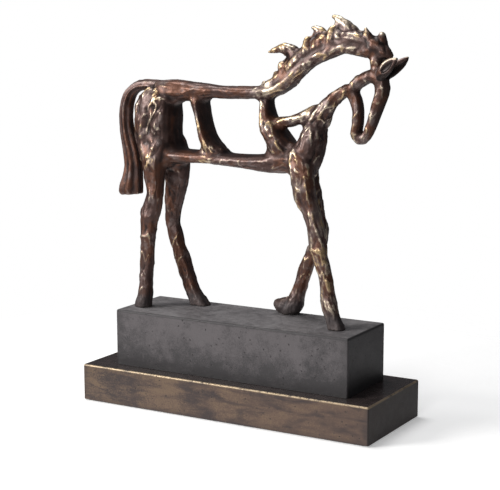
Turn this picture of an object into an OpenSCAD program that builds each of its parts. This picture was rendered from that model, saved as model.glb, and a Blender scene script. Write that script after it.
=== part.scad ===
// Openwork horse, cast in bronze sections, standing on a stepped plinth.
// Origin: middle of the underside. +X is the way the horse faces, +Z is up.
// Every horse section is drawn on the statue's own mid-plane, with Z = 0 at
// the hooves, and is then carried to its place on the block by on_block().

/* [Lower plinth] */
// Length of the bronze slab
slab_l = 355.6; // [330:0.1:430]
// Width of the bronze slab, front to back
slab_w = 127; // [112:0.5:160]
// Height of the slab casting, felt not counted
slab_h = 40.5; // [30:0.5:60]
// Thickness of the slab's side walls
slab_wall = 7; // [5:0.5:10]
// Thickness of the slab's top plate
slab_top = 6; // [4:0.5:9]
// Radius of the slab's upright corners
slab_corner = 2; // [1:0.5:4]

/* [Block] */
// Length of the upper block
block_l = 290; // [286:1:320]
// Width of the upper block, front to back
block_w = 89; // [86:0.5:108]
// Height of the upper block
block_h = 63; // [50:0.5:80]
// Thickness of the block's side walls
block_wall = 6; // [4:0.5:8]
// Thickness of the block's top plate
block_top = 7; // [5:0.5:12]
// Radius of the block's upright corners
block_corner = 2.5; // [1:0.5:5]

/* [Base board and felt] */
// Thickness of the closing board
board_t = 5; // [3:0.5:8]
// Width of the ledge that the board seats on
board_ledge = 3; // [2:0.5:4]
// Gap all round between the board and its rebate
board_gap = 0.4; // [0.2:0.1:1]
// Thickness of the felt
felt_t = 1.5; // [1:0.5:3]
// Distance that the felt's edge keeps inside the slab's edge
felt_inset = 3; // [1.5:0.5:8]
// Radius of the felt's corners
felt_corner = 4; // [2:0.5:8]

/* [Plinth bolts] */
// Thread diameter of the bolts that hold the block on the slab
bolt_d = 6; // [5:0.5:8]
// Clearance round those bolts in the slab's top plate
bolt_clear = 0.6; // [0.3:0.1:1]
// Depth of thread in the block's bosses
bolt_grip = 16; // [10:1:24]
// Diameter of the block's bosses
boss_d = 15; // [13:0.5:18]
// Height of the hexagon head
bolt_head_h = 4; // [3:0.5:6]
// Thickness of the washers under the bolt heads
bolt_washer_t = 1.5; // [1:0.25:2.5]

/* [Board screws] */
// Thread diameter of the board screws
screw_d = 4; // [3:0.5:5]
// Clearance round the screws in the board
screw_clear = 0.4; // [0.2:0.1:0.8]
// Length of thread in the slab's posts
screw_grip = 12; // [8:1:18]
// Height of the sunk pan head
screw_head_h = 2.2; // [1.5:0.1:2.8]
// Diameter of the slab's screw posts
post_d = 11; // [9:0.5:14]

/* [Hoof studs] */
// Thread diameter of the studs under the hooves
stud_d = 5; // [4:0.5:6]
// Clearance round the studs in the block's top plate
stud_clear = 0.5; // [0.3:0.1:1]
// Depth of the stud in the hoof
stud_grip = 9; // [6:0.5:11]
// Thickness of the stud washers
stud_washer_t = 1.2; // [0.8:0.1:2]
// Height of the stud nuts
stud_nut_h = 4; // [3:0.5:5]
// Length of stud that shows below its nut
stud_tail = 3; // [1:0.5:6]

/* [Horse] */
// Height of the horse above the block, hooves to highest lock
horse_h = 326.8; // [270:0.1:330]
// Offset of the horse's mid-plane from the block's middle
horse_y = 6; // [0:0.5:7]

/* [Hidden] */
$fn = 48;

// Overlap that lets a cutting shape run clean through a face
eps = 1;
// Height at which the horse sections are drawn
drawn_h = 326.8;
horse_k = horse_h / drawn_h;

// Levels, from the table up
slab_z = felt_t;
block_z = slab_z + slab_h;
deck_z = block_z + block_h;

// Colours
bronze = "#6a4a38";
dark_bronze = "#4a3830";
gold_bronze = "#8a6a40";
charcoal = "#58565a";
steel = "#b4b8bc";
wood = "#8a7458";
felt_black = "#1c1c1e";

// Hoof centres on the block, along and across, before the horse is scaled
hooves = [[-128, -20], [-79, 19], [35, 26], [112, -16]];

// ---------- shared shapes ----------

// Upright plate with round corners, its underside at z = 0
module rounded_plate(l, w, h, r) {
    translate([-l / 2, -w / 2 + r, 0]) cube([l, w - 2 * r, h]);
    translate([-l / 2 + r, -w / 2, 0]) cube([l - 2 * r, w, h]);
    for (x = [-1, 1], y = [-1, 1])
        translate([x * (l / 2 - r), y * (w / 2 - r), 0]) cylinder(h = h, r = r);
}

// Hexagon head or nut, measured across its flats
module hexagon(flats, h) {
    cylinder(h = h, d = flats / cos(30), $fn = 6);
}

// How far bosses and posts are let into the walls beside them
let_in = 2;

// Places children at the block's four bosses
boss_x = block_l / 2 - block_wall - boss_d / 2 + let_in;
boss_y = block_w / 2 - block_wall - boss_d / 2 + let_in;
module at_bosses() {
    for (x = [-1, 1], y = [-1, 1])
        translate([x * boss_x, y * boss_y, 0]) children();
}

// Places children at the slab's six screw posts
post_x = slab_l / 2 - slab_wall - post_d / 2 + let_in;
post_y = slab_w / 2 - slab_wall - post_d / 2 + let_in;
module at_posts() {
    for (x = [-1, 0, 1], y = [-1, 1])
        translate([x * post_x, y * post_y, 0]) children();
}

// Places children under the four hooves
module at_hooves() {
    for (p = hooves)
        translate([p.x * horse_k, p.y * horse_k + horse_y, 0]) children();
}

// ---------- plinth ----------

cavity_z = block_z - slab_top;
board_z = slab_z + board_t;

screw_head_d = screw_d * 2;

// The rebate that the board seats in
rebate_l = slab_l - 2 * (slab_wall - board_ledge);
rebate_w = slab_w - 2 * (slab_wall - board_ledge);

module lower_plinth() {
    color(bronze)
    difference() {
        union() {
            difference() {
                translate([0, 0, slab_z]) rounded_plate(slab_l, slab_w, slab_h, slab_corner);
                translate([0, 0, board_z - eps]) rounded_plate(
                    slab_l - 2 * slab_wall, slab_w - 2 * slab_wall,
                    cavity_z - board_z + eps, slab_corner);
            }
            at_posts() translate([0, 0, board_z]) cylinder(h = cavity_z - board_z, d = post_d);
        }
        translate([0, 0, slab_z - eps]) rounded_plate(
            rebate_l, rebate_w, board_t + eps, slab_corner);
        at_posts() translate([0, 0, board_z - eps]) cylinder(h = screw_grip + eps, d = screw_d);
        at_bosses() translate([0, 0, cavity_z - eps])
            cylinder(h = slab_top + 2 * eps, d = bolt_d + bolt_clear);
    }
}

module upper_plinth() {
    color(charcoal)
    difference() {
        union() {
            difference() {
                translate([0, 0, block_z]) rounded_plate(block_l, block_w, block_h, block_corner);
                translate([0, 0, block_z - eps]) rounded_plate(
                    block_l - 2 * block_wall, block_w - 2 * block_wall,
                    block_h - block_top + eps, block_corner);
            }
            at_bosses() translate([0, 0, block_z]) cylinder(h = block_h - block_top, d = boss_d);
        }
        at_bosses() translate([0, 0, block_z - eps]) cylinder(h = bolt_grip + eps, d = bolt_d);
        at_hooves() translate([0, 0, deck_z - block_top - eps])
            cylinder(h = block_top + 2 * eps, d = stud_d + stud_clear);
    }
}

module base_board() {
    color(wood)
    difference() {
        translate([0, 0, slab_z]) rounded_plate(
            rebate_l - 2 * board_gap, rebate_w - 2 * board_gap, board_t, slab_corner);
        at_posts() translate([0, 0, slab_z - eps])
            cylinder(h = board_t + 2 * eps, d = screw_d + screw_clear);
        at_posts() translate([0, 0, slab_z - eps])
            cylinder(h = screw_head_h + eps, d = screw_head_d + screw_clear);
    }
}

module base_felt() {
    color(felt_black)
    rounded_plate(slab_l - 2 * felt_inset, slab_w - 2 * felt_inset, felt_t, felt_corner);
}

bolt_head_flats = bolt_d * 1.65;
bolt_washer_d = bolt_d * 2;

module plinth_bolts() {
    color(steel)
    at_bosses() translate([0, 0, cavity_z - bolt_washer_t]) {
        cylinder(h = bolt_washer_t + slab_top + bolt_grip, d = bolt_d);
        translate([0, 0, -bolt_head_h]) hexagon(bolt_head_flats, bolt_head_h);
    }
}

module bolt_washers() {
    color(steel)
    at_bosses() translate([0, 0, cavity_z - bolt_washer_t])
        difference() {
            cylinder(h = bolt_washer_t, d = bolt_washer_d);
            translate([0, 0, -eps])
                cylinder(h = bolt_washer_t + 2 * eps, d = bolt_d + bolt_clear);
        }
}

// Width and depth of the screws' driving slot
slot_w = 1;
slot_deep = 1;

module board_screws() {
    color(steel)
    at_posts() translate([0, 0, slab_z])
        difference() {
            union() {
                cylinder(h = screw_head_h, d = screw_head_d);
                cylinder(h = board_t + screw_grip, d = screw_d);
            }
            translate([-screw_head_d, -slot_w / 2, -eps])
                cube([2 * screw_head_d, slot_w, slot_deep + eps]);
        }
}

// ---------- hoof fixings ----------

stud_nut_flats = stud_d * 1.6;
stud_washer_d = stud_d * 2;
stud_low = block_top + stud_washer_t + stud_nut_h + stud_tail;

module hoof_studs() {
    color(steel)
    at_hooves() translate([0, 0, deck_z - stud_low])
        cylinder(h = stud_low + stud_grip, d = stud_d);
}

module stud_washers() {
    color(steel)
    at_hooves() translate([0, 0, deck_z - block_top - stud_washer_t])
        difference() {
            cylinder(h = stud_washer_t, d = stud_washer_d);
            translate([0, 0, -eps])
                cylinder(h = stud_washer_t + 2 * eps, d = stud_d + stud_clear);
        }
}

module stud_nuts() {
    color(steel)
    at_hooves() translate([0, 0, deck_z - block_top - stud_washer_t - stud_nut_h])
        difference() {
            hexagon(stud_nut_flats, stud_nut_h);
            translate([0, 0, -eps]) cylinder(h = stud_nut_h + 2 * eps, d = stud_d);
        }
}

// ---------- modelled sections ----------
// A section is a run of stations [along, across, up, half width, half depth].
// Half width is measured in the upright plane of the horse, half depth across it.

function unit(v) = v / norm(v);
function place(s) = [s[0], s[1], s[2]];
function pick(st, i) = st[max(0, min(i, len(st) - 1))];

// A smooth curve through the middle two of four stations
function between(a, b, c, d, t) = 0.5 * (2 * b + (c - a) * t
    + (2 * a - 5 * b + 4 * c - d) * t * t + (3 * b - a - 3 * c + d) * t * t * t);

function smooth_run(st, steps) = [
    for (i = [0 : len(st) - 2], k = [0 : steps - 1])
        between(pick(st, i - 1), st[i], st[i + 1], pick(st, i + 2), k / steps),
    st[len(st) - 1]
];

function smooth_ring(st, steps) = let (n = len(st)) [
    for (i = [0 : n - 1], k = [0 : steps - 1])
        between(st[(i + n - 1) % n], st[i], st[(i + 1) % n], st[(i + 2) % n], k / steps)
];

// Rounds a unit circle towards a square as fullness falls below 1
function fuller(v, fullness) = sign(v) * pow(abs(v), fullness);

// One cross-section, square to the run's direction; flutes ripple its edge
function cross_section(s, dir, sides, fullness, flutes, flute_deep) =
    let (depth_dir = unit([0, 1, 0] - dir * dir.y), width_dir = cross(depth_dir, dir)) [
        for (k = [0 : sides - 1])
            let (a = 360 * k / sides, r = 1 - flute_deep * (1 - cos(flutes * a)) / 2)
                place(s) + width_dir * s[3] * r * fuller(cos(a), fullness)
                    + depth_dir * s[4] * r * fuller(sin(a), fullness)
    ];

// Triangles between neighbouring cross-sections i and j
function band(i, j, sides) = [
    for (k = [0 : sides - 1])
        let (m = (k + 1) % sides, a = i * sides + k, b = i * sides + m,
             c = j * sides + m, d = j * sides + k)
            each [[a, d, c], [a, c, b]]
];

// A solid section with two ends
module limb(stations, sides = 12, steps = 2, fullness = 0.85, flutes = 0, flute_deep = 0) {
    run = smooth_run(stations, steps);
    n = len(run);
    points = [for (i = [0 : n - 1])
        let (dir = unit(place(pick(run, i + 1)) - place(pick(run, i - 1))))
            each cross_section(run[i], dir, sides, fullness, flutes, flute_deep)];
    ends = [
        [for (k = [0 : sides - 1]) k],
        [for (k = [sides - 1 : -1 : 0]) (n - 1) * sides + k]
    ];
    faces = [for (i = [0 : n - 2]) each band(i, i + 1, sides)];
    polyhedron(points = points, faces = concat(faces, ends));
}

// A solid section that closes on itself
module closed_limb(stations, sides = 12, steps = 2, fullness = 0.85) {
    run = smooth_ring(stations, steps);
    n = len(run);
    points = [for (i = [0 : n - 1])
        let (dir = unit(place(run[(i + 1) % n]) - place(run[(i + n - 1) % n])))
            each cross_section(run[i], dir, sides, fullness, 0, 0)];
    faces = [for (i = [0 : n - 1]) each band(i, (i + 1) % n, sides)];
    polyhedron(points = points, faces = faces);
}

// Carries a section to its place on the block
module on_block() {
    translate([0, horse_y, deck_z]) scale(horse_k) children();
}

// The first child, cut back to the skins of the others where they meet
module fitted(colour) {
    color(colour)
    resize([0, 0, 0])
    difference() {
        on_block() children(0);
        if ($children > 1) on_block() children([1 : $children - 1]);
    }
}

// As fitted(), with the hoof cut flat on the block and drilled for its stud
below_hoof = 30;
stud_seat = 0.05;
module fitted_leg(colour) {
    color(colour)
    resize([0, 0, 0])
    difference() {
        on_block() children(0);
        on_block() children([1 : $children - 1]);
        translate([-slab_l, -slab_w, deck_z - below_hoof]) cube([2 * slab_l, 2 * slab_w, below_hoof]);
        at_hooves() translate([0, 0, deck_z - eps])
            cylinder(h = stud_grip + eps, d = stud_d + stud_seat);
    }
}

// ---------- body ----------

module haunch_form() {
    limb([[-114, 0, 158, 14, 16], [-115.5, 0, 170, 19.5, 21], [-117, 0, 186, 24, 23],
          [-118, 0, 202, 25, 24], [-117.5, 0, 220, 25.5, 24], [-111.5, 0, 236, 19.5, 21],
          [-107.5, 0, 246, 12, 15], [-106, 0, 251.5, 5, 8]],
         sides = 20, fullness = 0.72);
}

module breast_form() {
    limb([[66, 0, 158, 10, 14], [66, 0, 168, 14, 18], [70, 0, 180, 15.5, 20],
          [75, 0, 192, 13, 19], [77.5, 0, 203, 11.5, 17], [80, 0, 212, 10, 14]],
         sides = 16, fullness = 0.8);
}

module back_form() {
    limb([[-116, 0, 247.5, 7, 13], [-100, 0, 245, 11, 17], [-82, 0, 243.7, 11, 16],
          [-60, 0, 244.5, 7.5, 15], [-30, 0, 243.5, 6.5, 14], [-8, 0, 243.5, 6, 13],
          [10, 0, 244, 6.5, 12], [26, 0, 247, 6, 10]],
         sides = 14, fullness = 0.78);
}

module belly_form() {
    limb([[-108, 0, 172.5, 7, 18], [-88, 0, 171.8, 7.4, 19], [-66, 0, 171.8, 6.8, 19],
          [-44, 0, 171.8, 6.3, 18], [-20, 0, 170.6, 6.5, 18], [4, 0, 169.6, 8, 18],
          [28, 0, 170, 10.5, 19], [50, 0, 173, 11.5, 19], [66, 0, 178, 9, 16]],
         sides = 14, fullness = 0.78);
}

module flank_form() {
    limb([[-67, 0, 245, 10, 12], [-64, 0, 236, 7.5, 15], [-61, 0, 222, 5, 15.5],
          [-57, 0, 208, 4.5, 16], [-53, 0, 195, 5.2, 16.5], [-47.5, 0, 184, 8.5, 17],
          [-43, 0, 174.5, 15, 15]],
         sides = 14, fullness = 0.78);
}

module shoulder_form() {
    limb([[19, 0, 245, 9, 8], [20.2, 0, 238, 7, 10], [21.4, 0, 227, 6, 12.5],
          [23.4, 0, 216, 7, 15], [29.5, 0, 205, 10.5, 19], [36.6, 0, 194, 11, 20],
          [45.5, 0, 183, 12.5, 18], [56, 0, 176, 9, 13]],
         sides = 14, fullness = 0.78);
}

module collar_form() {
    limb([[26, -3, 214, 4.5, 5.5], [38, -3, 214.5, 5, 6], [50, -3, 215.5, 5.5, 6],
          [61, -3, 218.5, 5.5, 6.5], [72, -2, 223.5, 6, 7], [84, -1, 230, 5, 6]]);
}

module throat_form() {
    limb([[77, 0, 203, 9, 13], [81.5, 0, 215, 10.3, 13], [88, 0, 226, 9.3, 12],
          [97, 0, 237, 7, 11], [108, 0, 246, 6, 10], [118, 0, 250, 6, 9],
          [126, 0, 251, 4, 6]],
         sides = 14);
}

// ---------- legs ----------

module right_hind_form() {
    limb([[-118, -8, 200, 16, 10], [-116, -11, 188, 19, 13], [-115, -14, 174, 16, 13],
          [-114, -16, 158, 12.3, 12], [-112.8, -17, 141, 10.3, 10.5], [-113, -18, 126, 9.5, 10],
          [-116, -18, 115, 11, 10], [-119, -19, 104, 11, 10], [-120, -19, 93, 9, 9],
          [-120, -20, 76, 7.5, 8], [-122, -20, 54, 7, 7.5], [-124, -20, 33, 6.5, 7.5],
          [-125, -20, 15, 7.5, 8], [-127, -20, 6, 9, 9], [-128.5, -20, -4, 10, 9.5]]);
}

module left_hind_form() {
    limb([[-112, 8, 196, 14, 10], [-108, 12, 182, 17, 13], [-104, 14, 164, 15.5, 13],
          [-104, 16, 145, 13.5, 12], [-107, 17, 126, 10.5, 10], [-111, 18, 113, 9.5, 9.5],
          [-113, 19, 101, 9, 9], [-111.5, 19, 88, 8, 8.5], [-106, 19, 68, 7.5, 8],
          [-98, 19, 46, 7.5, 8], [-90.4, 19, 26, 7.4, 7.5], [-86, 19, 14, 8, 8],
          [-80, 19, 5, 9.5, 9.5], [-76, 19, -4, 12.5, 10]]);
}

module right_fore_form() {
    limb([[68, -6, 190, 8, 9], [67, -9, 180, 12.5, 12], [68.5, -12, 167, 13, 12],
          [71.5, -13, 153, 12.3, 11.5], [76, -14, 138, 11, 11], [82.5, -15, 123, 8.7, 10],
          [87, -16, 110, 8.4, 9.5], [90, -16, 99, 9, 9], [92, -16, 88, 9, 9],
          [95, -16, 77, 7.5, 8.5], [98, -16, 65, 7, 7.5], [101, -16, 52, 6.5, 7.5],
          [103, -16, 37, 7, 7.5], [106, -16, 24, 8.5, 8], [109, -16, 13, 8, 8],
          [113, -16, 3, 9, 9], [115, -16, -5, 10, 9.5]]);
}

module left_fore_form() {
    limb([[64, 6, 186, 10, 10], [61, 10, 177, 13.5, 12], [60, 15, 163, 12.5, 11.5],
          [63, 20, 145, 10.5, 10.5], [66, 23, 128, 9.5, 9.5], [70, 25, 110, 8.5, 9],
          [73, 26, 95, 8.5, 9], [71, 26, 84, 8.5, 8.5], [64, 26, 72, 7.5, 7.5],
          [57, 26, 56, 7, 7], [51, 26, 40, 6.7, 7], [46.5, 26, 25, 7, 7],
          [43, 26, 14, 8.5, 8], [38, 26, 7.5, 9.5, 9], [30, 26, 7.5, 9.5, 9.5],
          [23, 26, 9.5, 7.5, 8], [18, 26, 11, 2.5, 4]]);
}

// ---------- neck, mane and head ----------

module neck_form() {
    limb([[8, 0, 244, 4, 8], [22, 0, 245, 7, 11], [35, 0, 249.3, 6.5, 11.5],
          [47.5, 0, 257, 6.3, 11.5], [58.5, 0, 266, 6.3, 11.5], [68.5, 0, 274.5, 6.5, 11.5],
          [80, 0, 282.5, 6.8, 11.5], [93, 0, 288, 7.5, 11], [105, 0, 293, 7.5, 11],
          [116, 0, 295, 7, 10.5], [127, 0, 293, 6.5, 10], [138, 0, 290, 6.5, 9.5],
          [149, 0, 287, 5, 8]],
         sides = 14);
}

module lock(stations) {
    limb(stations, sides = 10);
}

// The ridge along the crest, and the locks that rise from it towards the poll
module mane_form() {
    limb([[12, 0, 249, 3, 5], [24, 0, 252, 6, 8], [38, 0, 259, 8, 9], [52, 0, 271, 9, 10],
          [65, 0, 283, 9.5, 10], [79, 0, 293, 9.5, 9.5], [94, 0, 300, 9, 9], [109, 0, 304, 8.5, 9],
          [124, 0, 303, 8, 9], [138, 0, 299, 8, 9], [150, 0, 294, 7.5, 9], [160, 0, 288, 5, 7]]);
    lock([[21, -1, 243, 6, 6], [20, -1, 251, 6, 7], [20, -1, 256, 3, 4]]);
    lock([[33, 2, 246, 6.5, 6], [31.5, 2, 256, 6.5, 7], [31.5, 2, 263, 5, 5], [32, 2, 266.5, 2.5, 3]]);
    lock([[47, -2, 257, 7, 7], [43, -2, 266, 6.5, 7], [41, -2, 273, 6, 6], [40.5, -2, 277.5, 3, 3]]);
    lock([[62, 1, 268, 8, 8], [57, 1, 281, 8, 8], [51, 1, 289, 6.5, 7], [42, 1, 292, 4.8, 6],
          [32, 1, 290.5, 3.3, 4], [22, 1, 287, 1, 1.5]]);
    lock([[75, -3, 276, 8, 7], [72, -3, 289, 7.5, 8], [72, -3, 298.5, 6, 7], [73, -3, 304, 2.5, 3]]);
    lock([[88, 3, 287, 8, 7], [88, 3, 298, 8, 7], [84.5, 3, 307, 6, 5.5],
          [78, 3, 312.3, 3.4, 3.5], [72, 3, 313.5, 1.4, 1.5]]);
    lock([[98, -3, 290, 7, 7], [99, -3, 303, 6.5, 7], [100, -3, 311, 4.5, 5], [101, -3, 315, 1.5, 2]]);
    lock([[122, 1, 294, 9, 8], [120, 1, 303, 10.5, 8], [116, 1, 311, 8.5, 7],
          [110.5, 1, 318, 6, 5.5], [104, 1, 323.4, 3.4, 3.4], [98, 1, 325.4, 1.4, 1.5]]);
    lock([[140, -2, 290, 7.5, 8], [140, -2, 300, 7.5, 7], [138, -2, 308, 5, 5], [136, -2, 314, 1.5, 2]]);
    lock([[150, 2, 286, 6, 7], [152, 2, 297, 6.5, 7], [153, 2, 304, 4.5, 5], [154, 2, 308, 2, 2]]);
    lock([[146, 0, 284, 5, 7], [153, 0, 287, 7, 8.5], [160, 0, 287, 6.5, 8], [165, 0, 284, 3, 4]]);
}

module poll_form() {
    limb([[150, 0, 290, 7, 8], [149, 0, 281, 6, 8], [150, 0, 272, 6.5, 8], [152, 0, 262, 7, 8]]);
}

module head_form() {
    closed_limb([[122, 0, 250, 7, 8], [126, 0, 240, 6.5, 8], [129, 0, 228, 5.5, 8],
                 [128.5, 0, 216, 5.5, 8], [127, 0, 206, 5.5, 7.5], [131, 0, 199.5, 5.5, 7],
                 [138, 0, 203, 5, 7], [143, 0, 212, 5, 7.5], [148, 0, 225, 5.5, 8],
                 [153, 0, 240, 6.5, 8.5], [156, 0, 253, 7.5, 9], [152, 0, 263, 7, 9],
                 [141, 0, 264.5, 6.5, 9], [130, 0, 259, 6.5, 8.5]]);
}

// An ear, leaf shaped, and the hollow in its outer side
module right_ear_form() {
    limb([[154, -5, 264, 5, 4], [159, -8, 269, 6.5, 4], [165, -10, 275, 7, 3.5],
          [171, -11, 280, 5, 3], [177, -12, 284, 1, 1.2]], sides = 12);
}

module right_ear_hollow() {
    limb([[159, -12, 269.5, 1.5, 2], [164, -14, 274, 4.5, 3.5], [170, -15, 279.5, 3, 3],
          [175, -15, 283, 1, 1]], sides = 10);
}

module left_ear_form() {
    limb([[154, 5, 264, 5, 4], [160, 9, 269, 6, 4], [166, 12, 274.5, 6, 3.5],
          [171.5, 15, 279.5, 4.5, 3], [176.5, 17, 284.5, 1, 1.2]], sides = 12);
}

module left_ear_hollow() {
    limb([[160.5, 13, 269.5, 1.5, 2], [166, 16, 274.5, 4, 3.5], [170.5, 19, 279, 2.5, 3],
          [174.5, 20, 283, 1, 1]], sides = 10);
}

module tail_form() {
    limb([[-108, 0, 248.5, 6, 9], [-127, 0, 249, 6.3, 9], [-142, 0, 248, 6.4, 9],
          [-151.5, 0, 243, 6.3, 9.5], [-157.5, 0, 235, 6.8, 10], [-161.5, 0, 222, 7.5, 10],
          [-162, 0, 206, 8, 10], [-160, 0, 190, 8.5, 10], [-155.8, 0, 173, 10, 10],
          [-153.7, 0, 158, 10.8, 10.5], [-154.6, 0, 144, 12.8, 11.5], [-157, 0, 133, 15.4, 12.5],
          [-158, 0, 126.5, 15.9, 12], [-158, 0, 123.8, 13, 9]],
         sides = 28, fullness = 1, flutes = 7, flute_deep = 0.2);
}

// ---------- horse sections as fitted together ----------

module haunch() { fitted(bronze) haunch_form(); }
module breast() { fitted(bronze) breast_form(); }
module head_loop() { fitted(bronze) head_form(); }

module right_hind_leg() { fitted_leg(bronze) { right_hind_form(); haunch_form(); } }
module left_hind_leg() { fitted_leg(bronze) { left_hind_form(); haunch_form(); right_hind_form(); } }
module right_foreleg() { fitted_leg(bronze) { right_fore_form(); breast_form(); } }
module left_foreleg() { fitted_leg(bronze) { left_fore_form(); breast_form(); right_fore_form(); } }

module back_bar() { fitted(bronze) { back_form(); haunch_form(); } }

module belly_rail() {
    fitted(gold_bronze) {
        belly_form(); haunch_form(); breast_form();
        right_hind_form(); left_hind_form(); right_fore_form(); left_fore_form();
    }
}

module flank_strut() { fitted(bronze) { flank_form(); back_form(); belly_form(); } }

module shoulder_strut() {
    fitted(bronze) {
        shoulder_form(); back_form(); neck_form(); belly_form(); breast_form();
        right_fore_form(); left_fore_form();
    }
}

module throat_bar() { fitted(bronze) { throat_form(); breast_form(); head_form(); } }

module collar_bar() {
    fitted(dark_bronze) { collar_form(); shoulder_form(); throat_form(); breast_form(); }
}

module neck_crest() { fitted(gold_bronze) { neck_form(); back_form(); } }
module poll_post() { fitted(gold_bronze) { poll_form(); neck_form(); head_form(); } }

module mane_locks() {
    fitted(gold_bronze) { mane_form(); neck_form(); back_form(); poll_form(); head_form(); }
}

module right_ear() {
    fitted(gold_bronze) { right_ear_form(); right_ear_hollow(); head_form(); poll_form(); mane_form(); }
}

module left_ear() {
    fitted(gold_bronze) { left_ear_form(); left_ear_hollow(); head_form(); poll_form(); mane_form(); }
}

module tail() { fitted(bronze) { tail_form(); haunch_form(); back_form(); } }

lower_plinth();
upper_plinth();
base_board();
base_felt();
plinth_bolts();
bolt_washers();
board_screws();
hoof_studs();
stud_washers();
stud_nuts();
right_hind_leg();
left_hind_leg();
right_foreleg();
left_foreleg();
haunch();
breast();
back_bar();
belly_rail();
flank_strut();
shoulder_strut();
collar_bar();
throat_bar();
neck_crest();
mane_locks();
poll_post();
head_loop();
right_ear();
left_ear();
tail();
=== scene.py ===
# %% [markdown]
# # An openwork bronze horse on a stepped plinth
# This lesson dresses a imported CAD model. The model says where every piece is. The pieces get
# their real surface here: the horse's hand-modelled skin, its rubbed patina, and the two
# castings it stands on. The first cell loads the model and gives a way to measure its outer
# box, which later keeps the marked skin of the horse inside it.

# %% Load the imported model
import math
import bmesh
import bpy
import numpy as np
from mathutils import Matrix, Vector
from mathutils.bvhtree import BVHTree


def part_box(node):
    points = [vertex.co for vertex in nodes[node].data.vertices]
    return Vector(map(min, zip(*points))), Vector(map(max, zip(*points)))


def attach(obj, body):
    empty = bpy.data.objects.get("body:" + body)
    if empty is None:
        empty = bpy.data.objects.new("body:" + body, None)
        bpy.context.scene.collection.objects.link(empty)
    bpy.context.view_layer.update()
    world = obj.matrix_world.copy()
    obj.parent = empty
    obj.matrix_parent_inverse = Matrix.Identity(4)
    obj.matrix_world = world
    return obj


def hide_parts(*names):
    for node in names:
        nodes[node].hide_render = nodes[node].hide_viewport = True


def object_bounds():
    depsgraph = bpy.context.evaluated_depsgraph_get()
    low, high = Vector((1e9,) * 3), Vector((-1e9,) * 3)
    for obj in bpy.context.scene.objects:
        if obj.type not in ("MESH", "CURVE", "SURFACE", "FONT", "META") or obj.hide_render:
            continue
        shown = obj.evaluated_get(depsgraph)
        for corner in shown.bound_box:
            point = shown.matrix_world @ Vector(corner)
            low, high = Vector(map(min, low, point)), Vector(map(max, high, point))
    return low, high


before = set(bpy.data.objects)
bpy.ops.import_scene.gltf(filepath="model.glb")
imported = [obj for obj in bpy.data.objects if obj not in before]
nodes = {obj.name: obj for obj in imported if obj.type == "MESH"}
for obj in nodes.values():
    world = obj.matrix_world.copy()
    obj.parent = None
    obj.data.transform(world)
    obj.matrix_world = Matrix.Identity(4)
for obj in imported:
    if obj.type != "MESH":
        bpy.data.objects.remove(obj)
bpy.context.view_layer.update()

MM = 0.001

# %% [markdown]
# ## A bench for node trees
# Materials and Geometry Nodes are both trees of nodes. Writing them node by node hides the
# arithmetic, so a small class wraps one socket and lets plain Python expressions add the Math
# nodes. Every other kind of node comes from one method, which sets the node's settings first
# and its sockets after.

# %% The bench and its wires
class Wire:
    """One output socket of a node tree, on which arithmetic adds Math nodes."""

    def __init__(self, bench, socket):
        self.bench, self.socket = bench, socket

    def math(self, operation, first, second=0.0):
        return self.bench.node("ShaderNodeMath", {"operation": operation}, {0: first, 1: second})

    def __add__(self, other):
        return self.math("ADD", self, other)

    def __sub__(self, other):
        return self.math("SUBTRACT", self, other)

    def __rsub__(self, other):
        return self.math("SUBTRACT", other, self)

    def __mul__(self, other):
        return self.math("MULTIPLY", self, other)

    def __truediv__(self, other):
        return self.math("DIVIDE", self, other)

    def __rtruediv__(self, other):
        return self.math("DIVIDE", other, self)

    def __pow__(self, other):
        return self.math("POWER", self, other)

    def __abs__(self):
        return self.math("ABSOLUTE", self)

    __radd__ = __add__
    __rmul__ = __mul__

    def least(self, other):
        return self.math("MINIMUM", self, other)

    def most(self, other):
        return self.math("MAXIMUM", self, other)


class Bench:
    """A node tree with one method that makes any node, and a few named uses of it."""

    def __init__(self, tree):
        self.tree = tree

    def node(self, kind, settings=(), sockets=(), output=0):
        made = self.tree.nodes.new(kind)
        for name, value in dict(settings).items():
            setattr(made, name, value)
        for key, value in dict(sockets).items():
            if isinstance(value, Wire):
                self.tree.links.new(value.socket, made.inputs[key])
            else:
                made.inputs[key].default_value = value
        return Wire(self, made.outputs[output])

    def noise(self, where, size, detail=3.0, roughness=0.5, distortion=0.0):
        """Cloudy noise about 0.5, with features of the given size in metres."""
        return self.node("ShaderNodeTexNoise", {"noise_dimensions": "3D"}, {
            "Vector": where, "Scale": 1 / size, "Detail": detail,
            "Roughness": roughness, "Distortion": distortion})

    def cells(self, where, size):
        """Distance to scattered points that are about one size apart."""
        return self.node("ShaderNodeTexVoronoi", {"feature": "F1"},
                         {"Vector": where, "Scale": 1 / size}, "Distance")

    def step(self, value, low, high):
        """0 below low, 1 above high, smooth between."""
        return self.node("ShaderNodeMapRange", {"interpolation_type": "SMOOTHSTEP"}, {
            "Value": value, "From Min": low, "From Max": high}, "Result")

    def blend(self, share, first, second):
        """One colour turning into another."""
        return self.node("ShaderNodeMix", {"data_type": "RGBA"}, {0: share, 6: first, 7: second}, 2)

    def vector(self, operation, first, second=None, scale=None, output=0):
        sockets = {0: first}
        if second is not None:
            sockets[1] = second
        if scale is not None:
            sockets["Scale"] = scale
        return self.node("ShaderNodeVectorMath", {"operation": operation}, sockets, output)


def rgb(red, green, blue):
    return (red, green, blue, 1.0)


print("bench ready")

# %% [markdown]
# ## The horse's one skin
# The real horse is cast in sections, welded, and chased until the joints can't be seen. So its
# surface is made as one skin: the CAD sections are copied and joined, a voxel remesh wraps them
# in even quads, and the joints are then filled and rounded like wax. Each vertex remembers
# which CAD section it came from, so that the skin can be cut back into its sections at the end.

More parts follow.
